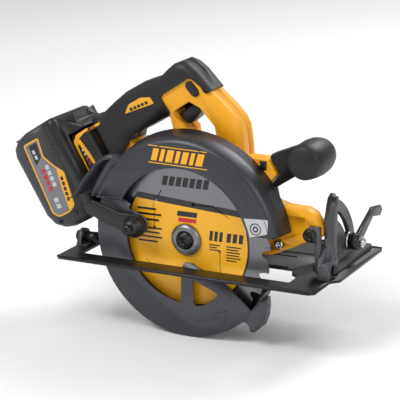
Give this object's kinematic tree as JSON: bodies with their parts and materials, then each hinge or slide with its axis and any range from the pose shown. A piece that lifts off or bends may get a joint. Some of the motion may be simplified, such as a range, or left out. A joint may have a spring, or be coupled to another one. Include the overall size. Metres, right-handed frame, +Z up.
{
  "type": "circular saw",
  "caption": "Cordless circular saw with a top handle, fixed and swinging blade guards, tilting and depth-setting shoe, and a slide-on battery.",
  "frame": {"origin": "on the shoe's sole, directly below the arbor along X, in the mid-plane of the handle", "axes": "+X forward along the cut, +Y from the blade side to the motor side, +Z up from the sole"},
  "size_m": [0.3687, 0.1609, 0.2678],
  "materials": {
    "bearing_steel": "ground",
    "black_plastic": "moulded, fine texture",
    "blade_coat": "printed coating over bright steel",
    "cast_bare": "bare cast aluminium, satin",
    "cast_dark": "dark cast metal, satin",
    "copper_winding": "varnished copper and lamination steel",
    "electronics": "potted board",
    "fastener_bright": "zinc plated",
    "fastener_dark": "black oxide",
    "grey_plastic": "moulded",
    "guard_cast": "dark grey textured coating",
    "plate_steel": "rolled plate, satin",
    "rubber_grip": "soft overmould",
    "shoe_plate": "black powder coating, satin",
    "spring_steel": "drawn wire",
    "yellow_plastic": "moulded, fine texture"
  },
  "bodies": {
    "shoe": {"shoe": "shoe_plate", "bevel_quadrant": "cast_dark", "rear_bracket": "cast_dark", "front_bevel_pin": "fastener_dark", "rear_bevel_pin": "fastener_dark"},
    "carriage": {"front_bracket": "cast_dark", "depth_pivot_pin": "fastener_dark", "bevel_bolt": "fastener_bright", "bevel_washer": "plate_steel", "bevel_nut": "fastener_bright", "rear_depth_arm": "plate_steel"},
    "saw": {"upper_guard": "guard_cast", "gear_case": "cast_bare", "bearing_plate": "cast_bare", "motor_housing": "yellow_plastic", "motor_end_cap": "black_plastic", "stator": "copper_winding", "spindle_front_bearing": "bearing_steel", "spindle_rear_bearing": "bearing_steel", "motor_front_bearing": "bearing_steel", "motor_rear_bearing": "bearing_steel", "front_nose": "yellow_plastic", "nose_screw": "fastener_dark", "handle_shell_right": "yellow_plastic", "handle_shell_left": "yellow_plastic", "handle_screw_front": "fastener_dark", "handle_screw_rear": "fastener_dark", "grip_cover_right": "rubber_grip", "grip_cover_left": "rubber_grip", "switch_body": "grey_plastic", "control_module": "electronics", "auxiliary_handle": "rubber_grip", "battery_foot": "black_plastic", "terminal_block": "grey_plastic", "depth_lock_bolt": "fastener_bright", "guard_return_spring": "spring_steel", "trigger_spring": "spring_steel"},
    "blade_set": {"blade": "blade_coat", "outer_flange": "plate_steel", "inner_flange": "plate_steel", "blade_bolt": "fastener_dark", "spindle": "fastener_bright", "drive_gear": "fastener_bright"},
    "rotor": {"motor_shaft": "fastener_bright", "rotor_core": "copper_winding", "cooling_fan": "black_plastic"},
    "retracting_guard": {"lower_guard": "cast_bare", "guard_lever": "black_plastic", "guard_knob": "black_plastic", "guard_knob_screw": "fastener_dark"},
    "trigger": {"trigger": "black_plastic"},
    "lock_off": {"lock_off_button": "black_plastic"},
    "spindle_lock": {"spindle_lock_button": "black_plastic"},
    "bevel_clamp": {"bevel_lever": "black_plastic"},
    "depth_clamp": {"depth_lever": "black_plastic"},
    "battery": {"battery_front_case": "black_plastic", "battery_rear_case": "black_plastic", "battery_cells": "electronics", "latch_spring": "spring_steel"},
    "battery_latch": {"battery_latch_button": "yellow_plastic"}
  },
  "joints": [
    {"name": "bevel", "type": "hinge", "parent": "shoe", "child": "carriage", "pos_m": [0, -0.03, 0.01], "axis": [1, 0, 0], "range_deg": [0, 35]},
    {"name": "depth", "type": "hinge", "parent": "carriage", "child": "saw", "pos_m": [0.13, -0.021, 0.045], "axis": [0, 1, 0], "range_deg": [0, 27]},
    {"name": "blade_spin", "type": "hinge", "parent": "saw", "child": "blade_set", "pos_m": [0, -0.045, 0.027], "axis": [0, 1, 0], "continuous": true},
    {"name": "rotor_spin", "type": "hinge", "parent": "saw", "child": "rotor", "pos_m": [0.01319, 0.02, 0.04584], "axis": [0, 1, 0], "continuous": true},
    {"name": "lower_guard_swing", "type": "hinge", "parent": "saw", "child": "retracting_guard", "pos_m": [0, -0.045, 0.027], "axis": [0, 1, 0], "range_deg": [0, 115], "stiffness_Nm_per_rad": 0.35, "springref_deg": -57.3, "deforming": ["guard_return_spring"]},
    {"name": "trigger_pull", "type": "slide", "parent": "saw", "child": "trigger", "axis": [-0.6691, 0, 0.7431], "range_m": [0, 0.004], "stiffness_N_per_m": 1500, "springref_m": -0.003, "deforming": ["trigger_spring"]},
    {"name": "lock_off_push", "type": "slide", "parent": "saw", "child": "lock_off", "axis": [0, 1, 0], "range_m": [-0.003, 0.003], "stiffness_N_per_m": 500},
    {"name": "spindle_lock_push", "type": "slide", "parent": "saw", "child": "spindle_lock", "axis": [0, 1, 0], "range_m": [0, 0.003], "stiffness_N_per_m": 800, "springref_m": -0.001},
    {"name": "bevel_lever_turn", "type": "hinge", "parent": "carriage", "child": "bevel_clamp", "pos_m": [0.15, 0.02119, 0.02372], "axis": [1, 0, 0], "range_deg": [0, 60]},
    {"name": "depth_lever_turn", "type": "hinge", "parent": "saw", "child": "depth_clamp", "pos_m": [-0.05912, -0.015, 0.02679], "axis": [0, 1, 0], "range_deg": [0, 40]},
    {"name": "battery_slide", "type": "slide", "parent": "saw", "child": "battery", "axis": [-0.5, 0, 0.866], "range_m": [0, 0.09]},
    {"name": "battery_latch_press", "type": "slide", "parent": "battery", "child": "battery_latch", "axis": [0.5, 0, -0.866], "range_m": [0, 0.0025], "stiffness_N_per_m": 1500, "springref_m": -0.002, "deforming": ["latch_spring"]}
  ],
  "couplings": [
    {"joint": "rotor_spin", "follows": "blade_spin", "ratio": -4.75}
  ]
}
